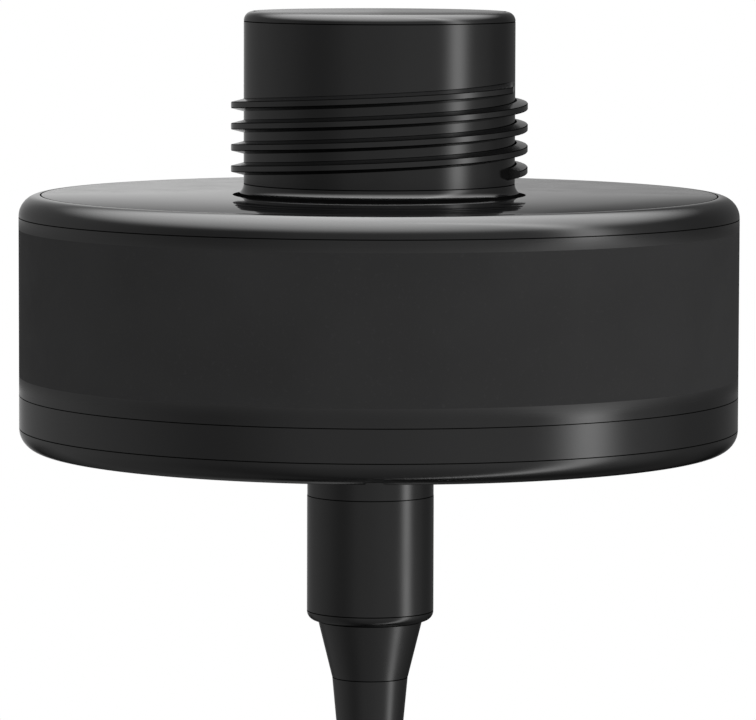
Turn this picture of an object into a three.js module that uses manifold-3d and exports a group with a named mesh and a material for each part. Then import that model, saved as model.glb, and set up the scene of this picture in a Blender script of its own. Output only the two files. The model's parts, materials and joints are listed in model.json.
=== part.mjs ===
// GNSS receiver: a sealed puck with a threaded antenna stub on top and an M12 drop cable below.
// Millimetres, +Z up. The origin is the centre of the seat, the flat ring of the disc's top face
// around the stub, which is clamped against a panel from below. -Y is the front.
import * as THREE from 'three';
import { mergeVertices } from 'three/addons/utils/BufferGeometryUtils.js';
import Module from 'manifold-3d';

const wasm = await Module();
wasm.setup();

// ---- driving dimensions ----
const GAP = 0.3; // clearance between touching pieces

// disc-shaped body
const DISC_R = 42.5;
const DISC_FILLET = 2.5;
const DISC_BOTTOM = -30;
const PARTING_Z = -23.5; // lower edge of the upper housing
const WALL = 2.6;
const CAVITY_R = 39.5;
const CEILING_Z = -WALL;
const FLOOR_Z = DISC_BOTTOM + WALL;

// antenna stub
const STUB_R = 16;
const STUB_TOP = 21.6;
const STUB_TOP_FILLET = 1.1;
const STUB_BASE_FILLET = 1.3;
const STUB_BORE_R = 13.5;
const STUB_BORE_TOP = 19;

// two-start mounting thread on the stub
const THREAD_R = 17.5;
const THREAD_STARTS = 2;
const THREAD_LEAD = 5;
const THREAD_CREST = 0.74;
const THREAD_BASE = 1.5;
const THREAD_FOOT_Z = 2.75; // crest centre at the lower end of a start
const THREAD_FOOT_ANGLE = -20; // degrees about +Z from +X
const THREAD_FULL_SWEEP = 712.7; // degrees at full height
const THREAD_SWEEP = 735; // degrees to the end of the run-out

// screws and posts
const CASE_SCREW_R = 33;
const BOARD_SCREW_R = 31;
const POST_R = 3.2;
const SCREW_HOLE_R = 1.5;
const SCREW_SHAFT_R = 1.2;
const SCREW_HEAD_R = 2.7;
const SCREW_HEAD_ROUNDING = 0.7;
const SCREW_RECESS_R = 3.1;
const SCREW_RECESS_DEPTH = 2.4;
const CASE_HOLE_TOP = -12; // blind ends of the screw holes in the posts
const BOARD_HOLE_TOP = -5.5;
const CASE_SCREW_TIP = -13.5;
const BOARD_SCREW_TIP = -6.5;
const BOARD_SCREW_HEAD = 2; // height of a board screw's head

// circuit boards
const BOARD_R = 36;
const BOARD_TOP = -12;
const BOARD_BOTTOM = -13.6;
const BOARD_SEAT = BOARD_TOP + GAP; // underside of what is soldered on top
const ANTENNA_BOARD_Z = 11.3;

// M12 connector, its centre line stands a little beside the disc's
const M12_X = -0.94;
const BOSS_R = 7.5;
const BOSS_Z = -35.6; // seam between the boss and the coupling nut
const BARREL_R = 6;
const M12_THREAD_R = 5.9;
const RECEPTACLE_END = -45.6;
const RECEPTACLE_BORE_R = 4.5;
const INSERT_FACE_Z = -36.6;
const PIN_R = 0.5;
const PIN_HOLE_R = 0.8;
const PIN_CIRCLE_R = 2.5;

// cable plugs, heights measured from the seam plane of the mated connector
const NUT_R = 7.52;
const NUT_FOOT = -14.95;
const NUT_SHOULDER = 1.1;
const NUT_BORE_R = 6.2;
const NECK_R = 4.7;
const CONE_TOP_Z = -15.25;
const CONE_TOP_R = 6.16;
const CONE_FOOT_Z = -21.8;
const GRIP_R = 4.5;
const RELIEF_END_Z = -34.4;
const RELIEF_END_R = 3.3;

// cable
const CABLE_R = 3;
const LEAD_STRAIGHT = 16; // straight length below the strain relief
const LEAD_BEND_R = 30;
const COIL_R = 35.6; // middle of the turns
const COIL_TURNS = 4; // whole turns, besides the part turn from where the lead joins
const LAY_SLOTS = 5; // strands that lie round the bundle's middle line
const LAY_R = 5.25;
const BUNDLE_R = LAY_R + CABLE_R + 0.1;
const TAIL_LENGTH = 36; // from the coil's widest point down to the far plug

// where the cable runs
const CABLE_EXIT_Z = BOSS_Z + RELIEF_END_Z;
const STRAND_R = COIL_R + LAY_R;
const BEND_ANGLE = Math.acos(LEAD_BEND_R / (LEAD_BEND_R + STRAND_R));
const BEND_TOP_Z = CABLE_EXIT_Z - LEAD_STRAIGHT;
const COIL_Z = BEND_TOP_Z - (LEAD_BEND_R + STRAND_R) * Math.sin(BEND_ANGLE);
const TAIL_LAY = (COIL_TURNS * 2 * Math.PI + BEND_ANGLE) / LAY_SLOTS;
const TAIL_X = M12_X + COIL_R + LAY_R * Math.cos(TAIL_LAY);
const TAIL_Y = -LAY_R * Math.sin(TAIL_LAY);
const FAR_PLUG_Z = COIL_Z - TAIL_LENGTH - GAP + RELIEF_END_Z;

// ---- materials ----
const LOOKS = {
  housing: [0x2c2c2d, 0.45, 0],
  rubber: [0x151515, 0.8, 0],
  soft: [0x262627, 0.6, 0],
  steel: [0xb4b6b8, 0.3, 1],
  gold: [0xd8b25a, 0.3, 1],
  board: [0x14532d, 0.5, 0],
  ceramic: [0xd9cdb4, 0.5, 0],
  tinned: [0xc9cbcd, 0.35, 1],
  chip: [0x1b1b1d, 0.5, 0],
  insert: [0x2a2a2c, 0.5, 0],
  ivory: [0xe4dfd0, 0.5, 0],
};
const WIRE_COLOURS = [0x7a4a24, 0xe8e6e0, 0x1f3f8f, 0x151515, 0x8b8d90];

const receiver = new THREE.Group();

function addMesh(name, geometry, [colour, roughness, metalness], place = [0, 0, 0]) {
  const mesh = new THREE.Mesh(
    geometry,
    new THREE.MeshStandardMaterial({ color: colour, roughness, metalness }),
  );
  mesh.name = name;
  mesh.position.set(...place);
  receiver.add(mesh);
  return mesh;
}

// ---- geometry helpers ----

// Merges shared vertices, drops collapsed triangles and turns the faces outwards.
function closed(geometry) {
  const source = geometry.clone();
  source.deleteAttribute('normal');
  source.deleteAttribute('uv');
  const merged = mergeVertices(source, 1e-4);
  const index = [...merged.index.array];
  const corner = [0, 1, 2].map(() => new THREE.Vector3());
  const faces = [];
  let volume = 0;
  for (let i = 0; i < index.length; i += 3) {
    const [a, b, c] = index.slice(i, i + 3);
    if (a === b || b === c || c === a) continue;
    faces.push([a, b, c]);
    [a, b, c].forEach((v, k) => corner[k].fromBufferAttribute(merged.attributes.position, v));
    volume += corner[0].dot(corner[1].cross(corner[2]));
  }
  merged.setIndex(faces.flatMap((face) => (volume < 0 ? face.reverse() : face)));
  merged.computeVertexNormals();
  return merged;
}

function toSolid(geometry) {
  const shell = closed(geometry);
  return new wasm.Manifold(
    new wasm.Mesh({
      numProp: 3,
      vertProperties: new Float32Array(shell.attributes.position.array),
      triVerts: new Uint32Array(shell.index.array),
    }),
  );
}

function toGeometry(solid) {
  const { vertProperties, triVerts } = solid.getMesh();
  const geometry = new THREE.BufferGeometry();
  geometry.setAttribute('position', new THREE.BufferAttribute(vertProperties, 3));
  geometry.setIndex(new THREE.BufferAttribute(triVerts, 1));
  geometry.computeVertexNormals();
  return geometry;
}

// Joins pieces to a body and then cuts others out of it.
function shape(body, joined, removed) {
  let solid = toSolid(body);
  for (const piece of joined) solid = solid.add(toSolid(piece));
  for (const piece of removed) solid = solid.subtract(toSolid(piece));
  return toGeometry(solid);
}

// Turns [radius, height] points about +Z; a profile ends on the axis or is closed on itself.
function turned(profile, segments = 20) {
  const points = profile.map(([r, z]) => new THREE.Vector2(r, z));
  const lathe = new THREE.LatheGeometry(points, segments);
  return closed(lathe.rotateX(Math.PI / 2));
}

function ring(profile, segments = 20) {
  return turned([...profile, profile[0]], segments);
}

// Points of a round corner about (r, z), angles in degrees from the +r direction.
function corner(r, z, radius, from, to, steps = 4) {
  return Array.from({ length: steps + 1 }, (_, i) => {
    const angle = THREE.MathUtils.degToRad(from + ((to - from) * i) / steps);
    return [r + radius * Math.cos(angle), z + radius * Math.sin(angle)];
  });
}

function rod(radius, bottom, top, [x, y] = [0, 0], segments = 16) {
  const cylinder = new THREE.CylinderGeometry(radius, radius, top - bottom, segments);
  return cylinder.rotateX(Math.PI / 2).translate(x, y, (top + bottom) / 2);
}

function block([width, depth], bottom, top, [x, y] = [0, 0]) {
  const box = new THREE.BoxGeometry(width, depth, top - bottom);
  return box.translate(x, y, (top + bottom) / 2);
}

function tube(points, radius, sides, steps) {
  const path = new THREE.CatmullRomCurve3(points.map((p) => new THREE.Vector3(...p)));
  const section = new THREE.Shape();
  for (let i = 0; i < sides; i += 1) {
    const angle = (2 * Math.PI * i) / sides;
    section[i ? 'lineTo' : 'moveTo'](radius * Math.cos(angle), radius * Math.sin(angle));
  }
  return closed(new THREE.ExtrudeGeometry(section, { steps, extrudePath: path }));
}

function polar(radius, degrees, [x, y] = [0, 0]) {
  const angle = THREE.MathUtils.degToRad(degrees);
  return [x + radius * Math.cos(angle), y + radius * Math.sin(angle)];
}

const CASE_SCREWS = [0, 90, 180, 270].map((angle) => polar(CASE_SCREW_R, angle));
const BOARD_SCREWS = [45, 135, 225, 315].map((angle) => polar(BOARD_SCREW_R, angle));
const M12_CENTRE = [M12_X, 0];

// ---- thread of the stub ----

// One rib: a straight bar with the rib's section, extruded in steps and then wrapped round the
// stub along the helix. Its upper end sinks into the stub as a run-out ramp, its lower end is cut
// square.
function threadRib(start) {
  const root = STUB_R - 1;
  const slope = (THREAD_BASE - THREAD_CREST) / 2 / (THREAD_R - STUB_R);
  const rootHalf = THREAD_BASE / 2 + slope;
  const section = new THREE.Shape();
  section.moveTo(root, -rootHalf);
  section.lineTo(THREAD_R, -THREAD_CREST / 2);
  section.lineTo(THREAD_R, THREAD_CREST / 2);
  section.lineTo(root, rootHalf);
  const steps = Math.round(THREAD_SWEEP / 12);
  const bar = new THREE.ExtrudeGeometry(section, {
    depth: THREAD_SWEEP,
    steps,
    bevelEnabled: false,
  });
  const position = bar.attributes.position;
  for (let i = 0; i < position.count; i += 1) {
    const sweep = position.getZ(i);
    const runOut = Math.max(0, (sweep - THREAD_FULL_SWEEP) / (THREAD_SWEEP - THREAD_FULL_SWEEP));
    const radius = position.getX(i) - runOut * (THREAD_R - STUB_R + 0.05);
    const [x, y] = polar(radius, THREAD_FOOT_ANGLE + start * (360 / THREAD_STARTS) + sweep);
    const z = THREAD_FOOT_Z + position.getY(i) + (THREAD_LEAD * sweep) / 360;
    position.setXYZ(i, x, y, z);
  }
  return bar;
}

// ---- housing ----

function upperHousing() {
  const body = turned(
    [
      [0, STUB_TOP],
      ...corner(STUB_R - STUB_TOP_FILLET, STUB_TOP - STUB_TOP_FILLET, STUB_TOP_FILLET, 90, 0, 3),
      ...corner(STUB_R + STUB_BASE_FILLET, STUB_BASE_FILLET, STUB_BASE_FILLET, 180, 270, 3),
      ...corner(DISC_R - DISC_FILLET, -DISC_FILLET, DISC_FILLET, 90, 0),
      [DISC_R, PARTING_Z],
      [CAVITY_R, PARTING_Z],
      [CAVITY_R, CEILING_Z],
      [STUB_BORE_R, CEILING_Z],
      [STUB_BORE_R, STUB_BORE_TOP],
      [0, STUB_BORE_TOP],
    ],
    48,
  );
  const ribs = Array.from({ length: THREAD_STARTS }, (_, start) => threadRib(start));
  const rooted = CEILING_Z + 1; // posts grow out of the ceiling
  const casePosts = CASE_SCREWS.map((at) => rod(POST_R, PARTING_Z, rooted, at, 12));
  const boardPosts = BOARD_SCREWS.map((at) => rod(POST_R, BOARD_SEAT, rooted, at, 12));
  const caseHoles = CASE_SCREWS.map((at) => rod(SCREW_HOLE_R, PARTING_Z - 1, CASE_HOLE_TOP, at, 8));
  const boardHoles = BOARD_SCREWS.map((at) =>
    rod(SCREW_HOLE_R, BOARD_SEAT - 1, BOARD_HOLE_TOP, at, 8),
  );
  return shape(body, [...ribs, ...casePosts, ...boardPosts], [...caseHoles, ...boardHoles]);
}

const COVER_TOP = PARTING_Z - GAP;
const SPIGOT_INNER_R = 37;
const SPIGOT_OUTER_R = 39.1;
const SPIGOT_TOP = COVER_TOP + 2.8;
const SEAL_GROOVE = { inner: 40.2, outer: 41.8, depth: 1.2 };
const SCREW_RECESS_TOP = DISC_BOTTOM + SCREW_RECESS_DEPTH;
const RECEPTACLE_SEAL = { inner: 7.2, outer: 8.4, depth: 1 };
const DRAIN_NOTCH = { width: 2.2, length: 6, height: 0.35, at: [-0.4, -40] };

function lowerCover() {
  const grooveFloor = COVER_TOP - SEAL_GROOVE.depth;
  const pan = turned(
    [
      [0, DISC_BOTTOM],
      ...corner(DISC_R - DISC_FILLET, DISC_BOTTOM + DISC_FILLET, DISC_FILLET, -90, 0),
      [DISC_R, COVER_TOP],
      [SEAL_GROOVE.outer, COVER_TOP],
      [SEAL_GROOVE.outer, grooveFloor],
      [SEAL_GROOVE.inner, grooveFloor],
      [SEAL_GROOVE.inner, COVER_TOP],
      [SPIGOT_OUTER_R, COVER_TOP],
      [SPIGOT_OUTER_R, SPIGOT_TOP],
      [SPIGOT_INNER_R, SPIGOT_TOP],
      [SPIGOT_INNER_R, FLOOR_Z],
      [0, FLOOR_Z],
    ],
    48,
  );
  const boss = rod(BOSS_R, BOSS_Z, FLOOR_Z - 1, M12_CENTRE, 32);
  const posts = CASE_SCREWS.map((at) => rod(POST_R + 1, FLOOR_Z - 1, COVER_TOP, at, 12));
  const screwHoles = CASE_SCREWS.map((at) => rod(SCREW_HOLE_R, DISC_BOTTOM, COVER_TOP + 1, at, 8));
  const recesses = CASE_SCREWS.map((at) =>
    rod(SCREW_RECESS_R, DISC_BOTTOM - 1, SCREW_RECESS_TOP, at),
  );
  const barrelHole = rod(BARREL_R + GAP, BOSS_Z - 1, FLOOR_Z + 1, M12_CENTRE, 32);
  const sealGroove = ring([
    [RECEPTACLE_SEAL.inner, FLOOR_Z + 1],
    [RECEPTACLE_SEAL.outer, FLOOR_Z + 1],
    [RECEPTACLE_SEAL.outer, FLOOR_Z - RECEPTACLE_SEAL.depth],
    [RECEPTACLE_SEAL.inner, FLOOR_Z - RECEPTACLE_SEAL.depth],
  ]).translate(M12_X, 0, 0);
  const drainNotch = block(
    [DRAIN_NOTCH.width, DRAIN_NOTCH.length],
    DISC_BOTTOM - 1,
    DISC_BOTTOM + DRAIN_NOTCH.height,
    DRAIN_NOTCH.at,
  );
  return shape(
    pan,
    [boss, ...posts],
    [...screwHoles, ...recesses, barrelHole, sealGroove, drainNotch],
  );
}

// A pan-head screw standing with its head at the bottom.
function screw(headBottom, headTop, tip) {
  return turned(
    [
      [0, headBottom],
      [SCREW_HEAD_R - SCREW_HEAD_ROUNDING, headBottom],
      [SCREW_HEAD_R, headBottom + SCREW_HEAD_ROUNDING],
      [SCREW_HEAD_R, headTop],
      [SCREW_SHAFT_R, headTop],
      [SCREW_SHAFT_R, tip - 1],
      [0, tip],
    ],
    12,
  );
}

// A flat seal between two radii and two heights, its inner and outer faces drawn to a ridge.
function flatSeal(inner, outer, bottom, top, segments) {
  const edge = (top - bottom) / 4;
  const middle = (top + bottom) / 2;
  return ring(
    [
      [inner + edge, bottom],
      [outer - edge, bottom],
      [outer, middle],
      [outer - edge, top],
      [inner + edge, top],
      [inner, middle],
    ],
    segments,
  );
}

addMesh('upper_housing', upperHousing(), LOOKS.housing);
addMesh('lower_cover', lowerCover(), LOOKS.housing);
addMesh(
  'housing_seal',
  flatSeal(
    SEAL_GROOVE.inner + GAP,
    SEAL_GROOVE.outer - GAP,
    COVER_TOP - SEAL_GROOVE.depth + GAP,
    COVER_TOP,
    48,
  ),
  LOOKS.rubber,
);
CASE_SCREWS.forEach(([x, y], i) => {
  const solid = screw(DISC_BOTTOM + GAP, SCREW_RECESS_TOP - GAP, CASE_SCREW_TIP);
  addMesh(`case_screw_${i + 1}`, solid, LOOKS.steel, [x, y, 0]);
});

// ---- antenna in the stub ----

const CARRIER_TOP = ANTENNA_BOARD_Z - GAP;
const CARRIER = { inner: 11.2, outer: 13, foot: 15.8, footHeight: 1.3 };
const CARRIER_FOOT_TOP = BOARD_SEAT + CARRIER.footHeight;
const ANTENNA_BOARD_TOP = ANTENNA_BOARD_Z + 1;
const PATCH_SIZE = 18;
const PATCH_HEIGHT = 4;
const SHIELD = { size: [11, 9], height: 2, at: [-2, 0] };
const COAX_X = 8;
const COAX_R = 0.6;
const COAX_PLUG = { radius: 1.6, height: 2 };

addMesh(
  'antenna_carrier',
  ring([
    [CARRIER.inner, BOARD_SEAT],
    [CARRIER.foot, BOARD_SEAT],
    [CARRIER.foot, CARRIER_FOOT_TOP],
    [CARRIER.outer, CARRIER_FOOT_TOP],
    [CARRIER.outer, CARRIER_TOP],
    [CARRIER.inner, CARRIER_TOP],
  ]),
  LOOKS.chip,
);
addMesh(
  'antenna_board',
  rod(CARRIER.outer, ANTENNA_BOARD_Z, ANTENNA_BOARD_TOP, [0, 0], 32),
  LOOKS.board,
);
addMesh(
  'patch_antenna',
  block(
    [PATCH_SIZE, PATCH_SIZE],
    ANTENNA_BOARD_TOP + GAP,
    ANTENNA_BOARD_TOP + GAP + PATCH_HEIGHT,
  ),
  LOOKS.ceramic,
);
addMesh(
  'amplifier_shield',
  block(SHIELD.size, CARRIER_TOP - SHIELD.height, CARRIER_TOP, SHIELD.at),
  LOOKS.tinned,
);
addMesh(
  'coax_plug',
  rod(COAX_PLUG.radius, BOARD_SEAT, BOARD_SEAT + COAX_PLUG.height, [COAX_X, 0]),
  LOOKS.gold,
);
addMesh(
  'antenna_coax',
  tube(
    [
      [COAX_X, 0, BOARD_SEAT + COAX_PLUG.height + GAP],
      [COAX_X, 0, -6],
      [COAX_X - 1, 1, 0],
      [COAX_X, 0, 6],
      [COAX_X, 0, CARRIER_TOP],
    ],
    COAX_R,
    8,
    12,
  ),
  LOOKS.rubber,
);

// ---- main board ----

const BOARD_NOTCH_R = POST_R + 0.5;

function mainBoard() {
  const notches = CASE_SCREWS.map((at) =>
    rod(BOARD_NOTCH_R, BOARD_BOTTOM - 1, BOARD_TOP + 1, at, 12),
  );
  const holes = BOARD_SCREWS.map((at) => rod(SCREW_HOLE_R, BOARD_BOTTOM - 1, BOARD_TOP + 1, at, 8));
  const disc = rod(BOARD_R, BOARD_BOTTOM, BOARD_TOP, [0, 0], 40);
  return shape(disc, [], [...notches, ...holes]);
}

const HEADER_AT = [M12_X, 12];
const HEADER_WIDTH = 12;
const HEADER_DEPTH = 5;
const HEADER_BOTTOM = -19.9;

// What stands on the board: name, [width, depth] or radius, height, place and look.
const COMPONENTS = [
  ['gnss_module', [14, 12], 2.6, [-24, 11], LOOKS.tinned],
  ['processor', [9, 9], 1.2, [23, -10], LOOKS.chip],
  ['bus_transceiver', [6, 5], 1.6, [20, 9], LOOKS.chip],
  ['power_inductor', [7, 7], 4, [-22, -11], LOOKS.chip],
  ['backup_cell', 4.8, 2.1, [0, 24], LOOKS.steel],
  ['filter_capacitor', 3, 5.5, [0, -24], LOOKS.tinned],
];

addMesh('main_board', mainBoard(), LOOKS.board);
COMPONENTS.forEach(([name, size, height, at, look]) => {
  const top = BOARD_SEAT + height;
  const solid = Array.isArray(size)
    ? block(size, BOARD_SEAT, top, at)
    : rod(size, BOARD_SEAT, top, at, 24);
  addMesh(name, solid, look);
});
addMesh(
  'board_header',
  block([HEADER_WIDTH, HEADER_DEPTH], HEADER_BOTTOM, BOARD_BOTTOM - GAP, HEADER_AT),
  LOOKS.ivory,
);
BOARD_SCREWS.forEach(([x, y], i) => {
  const headTop = BOARD_BOTTOM - GAP;
  const solid = screw(headTop - BOARD_SCREW_HEAD, headTop, BOARD_SCREW_TIP);
  addMesh(`board_screw_${i + 1}`, solid, LOOKS.steel, [x, y, 0]);
});

// ---- M12 receptacle ----

// Four contacts on a circle and one in the middle, about the connector's own centre line.
const CONTACTS = [...[45, 135, 225, 315].map((angle) => polar(PIN_CIRCLE_R, angle)), [0, 0]];

function contactHoles(bottom, top) {
  return CONTACTS.map((at) => rod(PIN_HOLE_R, bottom, top, at, 10));
}

// A round contact with a domed tip.
function contactPin(tip, back) {
  const step = Math.sign(back - tip);
  return turned(
    [
      [0, tip],
      [PIN_R * 0.7, tip + step * 0.2],
      [PIN_R, tip + step * 0.6],
      [PIN_R, back],
      [0, back],
    ],
    10,
  );
}

const PIN_TIP = -43.6;
const PIN_TOP = -22.5;
const FLANGE_R = 9.5;
const FLANGE_BOTTOM = FLOOR_Z + GAP;
const FLANGE_TOP = FLANGE_BOTTOM + 1.8;
const INSERT_COLLAR = { radius: 5.5, bottom: FLANGE_TOP + GAP, top: FLANGE_TOP + 1.3 };
const CHAMFER = 0.4;

function receptacleInsert() {
  const body = turned(
    [
      [0, INSERT_FACE_Z],
      [RECEPTACLE_BORE_R - GAP, INSERT_FACE_Z],
      [RECEPTACLE_BORE_R - GAP, INSERT_COLLAR.bottom],
      [INSERT_COLLAR.radius, INSERT_COLLAR.bottom],
      [INSERT_COLLAR.radius, INSERT_COLLAR.top],
      [0, INSERT_COLLAR.top],
    ],
    24,
  );
  return shape(body, [], contactHoles(INSERT_FACE_Z - 1, INSERT_COLLAR.top + 1));
}

addMesh(
  'receptacle_body',
  ring([
    [RECEPTACLE_BORE_R, RECEPTACLE_END],
    [M12_THREAD_R - CHAMFER, RECEPTACLE_END],
    [M12_THREAD_R, RECEPTACLE_END + CHAMFER],
    [M12_THREAD_R, BOSS_Z],
    [BARREL_R, BOSS_Z],
    [BARREL_R, FLANGE_BOTTOM],
    [FLANGE_R, FLANGE_BOTTOM],
    [FLANGE_R, FLANGE_TOP],
    [RECEPTACLE_BORE_R, FLANGE_TOP],
  ], 28),
  LOOKS.steel,
  [M12_X, 0, 0],
);
addMesh(
  'receptacle_seal',
  flatSeal(
    RECEPTACLE_SEAL.inner + GAP,
    RECEPTACLE_SEAL.outer - GAP,
    FLOOR_Z - RECEPTACLE_SEAL.depth + GAP,
    FLOOR_Z,
    24,
  ),
  LOOKS.rubber,
  [M12_X, 0, 0],
);
addMesh('receptacle_insert', receptacleInsert(), LOOKS.insert, [M12_X, 0, 0]);

// Each lead rises from its contact, bows clear of its neighbours and enters the board header.
const HEADER_PITCH = 2;
const HEADER_SLOT = [1, -1, -2, 2, 0]; // slot of each contact, counted from the header's middle
const LEAD_BOW_X = [2.1, -2.1, -4.2, 4.2, 0];
const LEAD_R = 0.55;
const LEAD_ENTRY_Z = -17;

CONTACTS.forEach(([x, y], i) => {
  addMesh(`contact_pin_${i + 1}`, contactPin(PIN_TIP, PIN_TOP), LOOKS.gold, [M12_X + x, y, 0]);
  const slotX = HEADER_SLOT[i] * HEADER_PITCH;
  const points = [
    [x, y, PIN_TOP + GAP],
    [x, y, PIN_TOP + 1.8],
    [LEAD_BOW_X[i], y + 2.2, -18.4],
    [slotX, 6.6, LEAD_ENTRY_Z],
    [slotX, HEADER_AT[1] - HEADER_DEPTH / 2 - GAP, LEAD_ENTRY_Z],
  ];
  const look = [WIRE_COLOURS[i], 0.6, 0];
  addMesh(`contact_lead_${i + 1}`, tube(points, LEAD_R, 6, 9), look, [M12_X, 0, 0]);
});

// ---- cable plugs ----

const PLUG_FLANGE_TOP = -12.2;
const PLUG_FLANGE_FOOT = -13;
const PLUG_INSERT_BACK = -11.9;

// Moulded grip of a cable plug: flange and neck inside the nut, cone, and the tapering strain relief.
function overmould() {
  return turned(
    [
      [0, PLUG_FLANGE_TOP],
      [NUT_BORE_R - GAP, PLUG_FLANGE_TOP],
      [NUT_BORE_R - GAP, PLUG_FLANGE_FOOT],
      [NECK_R, PLUG_FLANGE_FOOT],
      [NECK_R, CONE_TOP_Z],
      [CONE_TOP_R, CONE_TOP_Z],
      [GRIP_R, CONE_FOOT_Z],
      [RELIEF_END_R, RELIEF_END_Z],
      [0, RELIEF_END_Z],
    ],
    30,
  );
}

// Foot of a coupling nut: rounded shoulder and the lip that the plug's flange rests on.
const NUT_LIP = PLUG_FLANGE_FOOT - GAP;
const NUT_FOOT_PROFILE = [
  ...corner(NUT_R - NUT_SHOULDER, NUT_FOOT + NUT_SHOULDER, NUT_SHOULDER, 0, -90),
  [NECK_R + GAP, NUT_FOOT],
  [NECK_R + GAP, NUT_LIP],
  [NUT_BORE_R, NUT_LIP],
];

function plugInsert(face, radius) {
  const body = rod(radius, PLUG_INSERT_BACK, face, [0, 0], 24);
  return shape(body, [], contactHoles(PLUG_INSERT_BACK + 0.9, face + 1));
}

const nearPlug = [M12_X, 0, BOSS_Z];
const femaleFace = INSERT_FACE_Z - 0.4 - BOSS_Z;
const O_RING = { inner: 4.5, outer: 5.8, bottom: -11.6, top: -10.3 };

addMesh('plug_overmould', overmould(), LOOKS.soft, nearPlug);
addMesh('plug_insert', plugInsert(femaleFace, RECEPTACLE_BORE_R - 0.4), LOOKS.insert, nearPlug);
addMesh(
  'plug_o_ring',
  flatSeal(O_RING.inner, O_RING.outer, O_RING.bottom, O_RING.top, 24),
  LOOKS.rubber,
  nearPlug,
);
addMesh(
  'coupling_nut',
  ring([[NUT_R, -GAP], ...NUT_FOOT_PROFILE, [NUT_BORE_R, -GAP]], 36),
  LOOKS.housing,
  nearPlug,
);

// The far plug is the male half of the same connector, turned over so that it hangs face down.
const farPlug = [TAIL_X, TAIL_Y, FAR_PLUG_Z];
const SLEEVE_TIP = 4.5;
const SLEEVE_BORE_R = 4.6;
const SLEEVE_FLOOR = -9; // inner end of the bore round the insert
const NUT_FACE = -3;
const FAR_INSERT_FACE = -4;
const FAR_INSERT_R = 4.2;
const FAR_PIN_TIP = 3.4;
const FAR_PIN_BACK = -10.7;

function turnedOver(mesh) {
  mesh.rotation.x = Math.PI;
}

turnedOver(addMesh('far_plug_overmould', overmould(), LOOKS.soft, farPlug));
turnedOver(addMesh('far_plug_insert', plugInsert(FAR_INSERT_FACE, FAR_INSERT_R), LOOKS.insert, farPlug));
turnedOver(
  addMesh(
    'far_plug_nut',
    ring(
      [
        [M12_THREAD_R - CHAMFER, SLEEVE_TIP],
        [M12_THREAD_R, SLEEVE_TIP - CHAMFER],
        [M12_THREAD_R, NUT_FACE],
        [NUT_R, NUT_FACE],
        ...NUT_FOOT_PROFILE,
        [NUT_BORE_R, SLEEVE_FLOOR],
        [SLEEVE_BORE_R, SLEEVE_FLOOR],
        [SLEEVE_BORE_R, SLEEVE_TIP],
      ],
      36,
    ),
    LOOKS.steel,
    farPlug,
  ),
);
CONTACTS.forEach(([x, y], i) => {
  const place = [TAIL_X + x, TAIL_Y - y, FAR_PLUG_Z];
  turnedOver(addMesh(`far_pin_${i + 1}`, contactPin(FAR_PIN_TIP, FAR_PIN_BACK), LOOKS.gold, place));
});

// ---- cable ----

// The lead hangs straight down, swings over to the coil's outer side and joins it there. The tail
// leaves the coil at its widest point and hangs down to the far plug. Each tube stops where its
// side comes within the gap of the coil's solid.
const REACH = BUNDLE_R + CABLE_R + GAP;

function leadPoint(angle) {
  const x = M12_X + LEAD_BEND_R * (1 - Math.cos(angle));
  return [x, 0, BEND_TOP_Z - LEAD_BEND_R * Math.sin(angle)];
}

function leadPoints() {
  const points = [0, 0.25, 0.5, 0.75].map((part) => [
    M12_X,
    0,
    CABLE_EXIT_Z - GAP - part * (LEAD_STRAIGHT - GAP),
  ]);
  const step = BEND_ANGLE / 12;
  for (let angle = 0; angle < BEND_ANGLE; angle += step) {
    const [x, y, z] = leadPoint(angle);
    if (Math.hypot(x - M12_X, z - COIL_Z) < COIL_R + REACH) break;
    points.push([x, y, z]);
  }
  return points;
}

function tailPoints() {
  const clear = COIL_R + Math.sqrt(REACH ** 2 - TAIL_Y ** 2);
  const top = COIL_Z - Math.sqrt(clear ** 2 - (TAIL_X - M12_X) ** 2);
  const bottom = COIL_Z - TAIL_LENGTH;
  return [0, 1, 2].map((i) => [TAIL_X, TAIL_Y, top + ((bottom - top) * i) / 2]);
}

// Outer shape of the turns, a ring standing in the XZ plane.
function coil() {
  const section = corner(COIL_R, 0, BUNDLE_R, 0, 315, 7);
  return ring(section, 40).rotateX(Math.PI / 2);
}

const TIE = { clearance: 0.4, thickness: 1.2, halfWidth: 2.4 };
const TIE_LOCK = { size: [4, 5.5], halfWidth: 3.2, offset: 2.4 };

// A cable tie with its lock, wrapped round the bundle; its middle line runs along the turns.
function coilTie() {
  const inner = BUNDLE_R + TIE.clearance;
  const outer = inner + TIE.thickness;
  const band = ring(
    [
      [inner, -TIE.halfWidth],
      [outer, -TIE.halfWidth],
      [outer, TIE.halfWidth],
      [inner, TIE.halfWidth],
    ],
    20,
  );
  const lockAt = [inner + TIE_LOCK.offset, 0];
  const lock = block(TIE_LOCK.size, -TIE_LOCK.halfWidth, TIE_LOCK.halfWidth, lockAt);
  return shape(band, [lock], []);
}

addMesh('cable_lead', tube(leadPoints(), CABLE_R, 10, 10), LOOKS.soft);
addMesh('cable_coil', coil(), LOOKS.soft, [M12_X, 0, COIL_Z]);
addMesh('cable_tail', tube(tailPoints(), CABLE_R, 10, 2), LOOKS.soft);
[40, 220].forEach((degrees, i) => {
  const [x, z] = polar(COIL_R, degrees);
  const tie = addMesh(`coil_tie_${i + 1}`, coilTie(), LOOKS.rubber, [M12_X + x, 0, COIL_Z + z]);
  tie.rotation.y = THREE.MathUtils.degToRad(-degrees);
});

export default receiver;
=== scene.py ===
import json
import math

import bmesh
import bpy
from mathutils import Matrix, Vector


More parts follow.
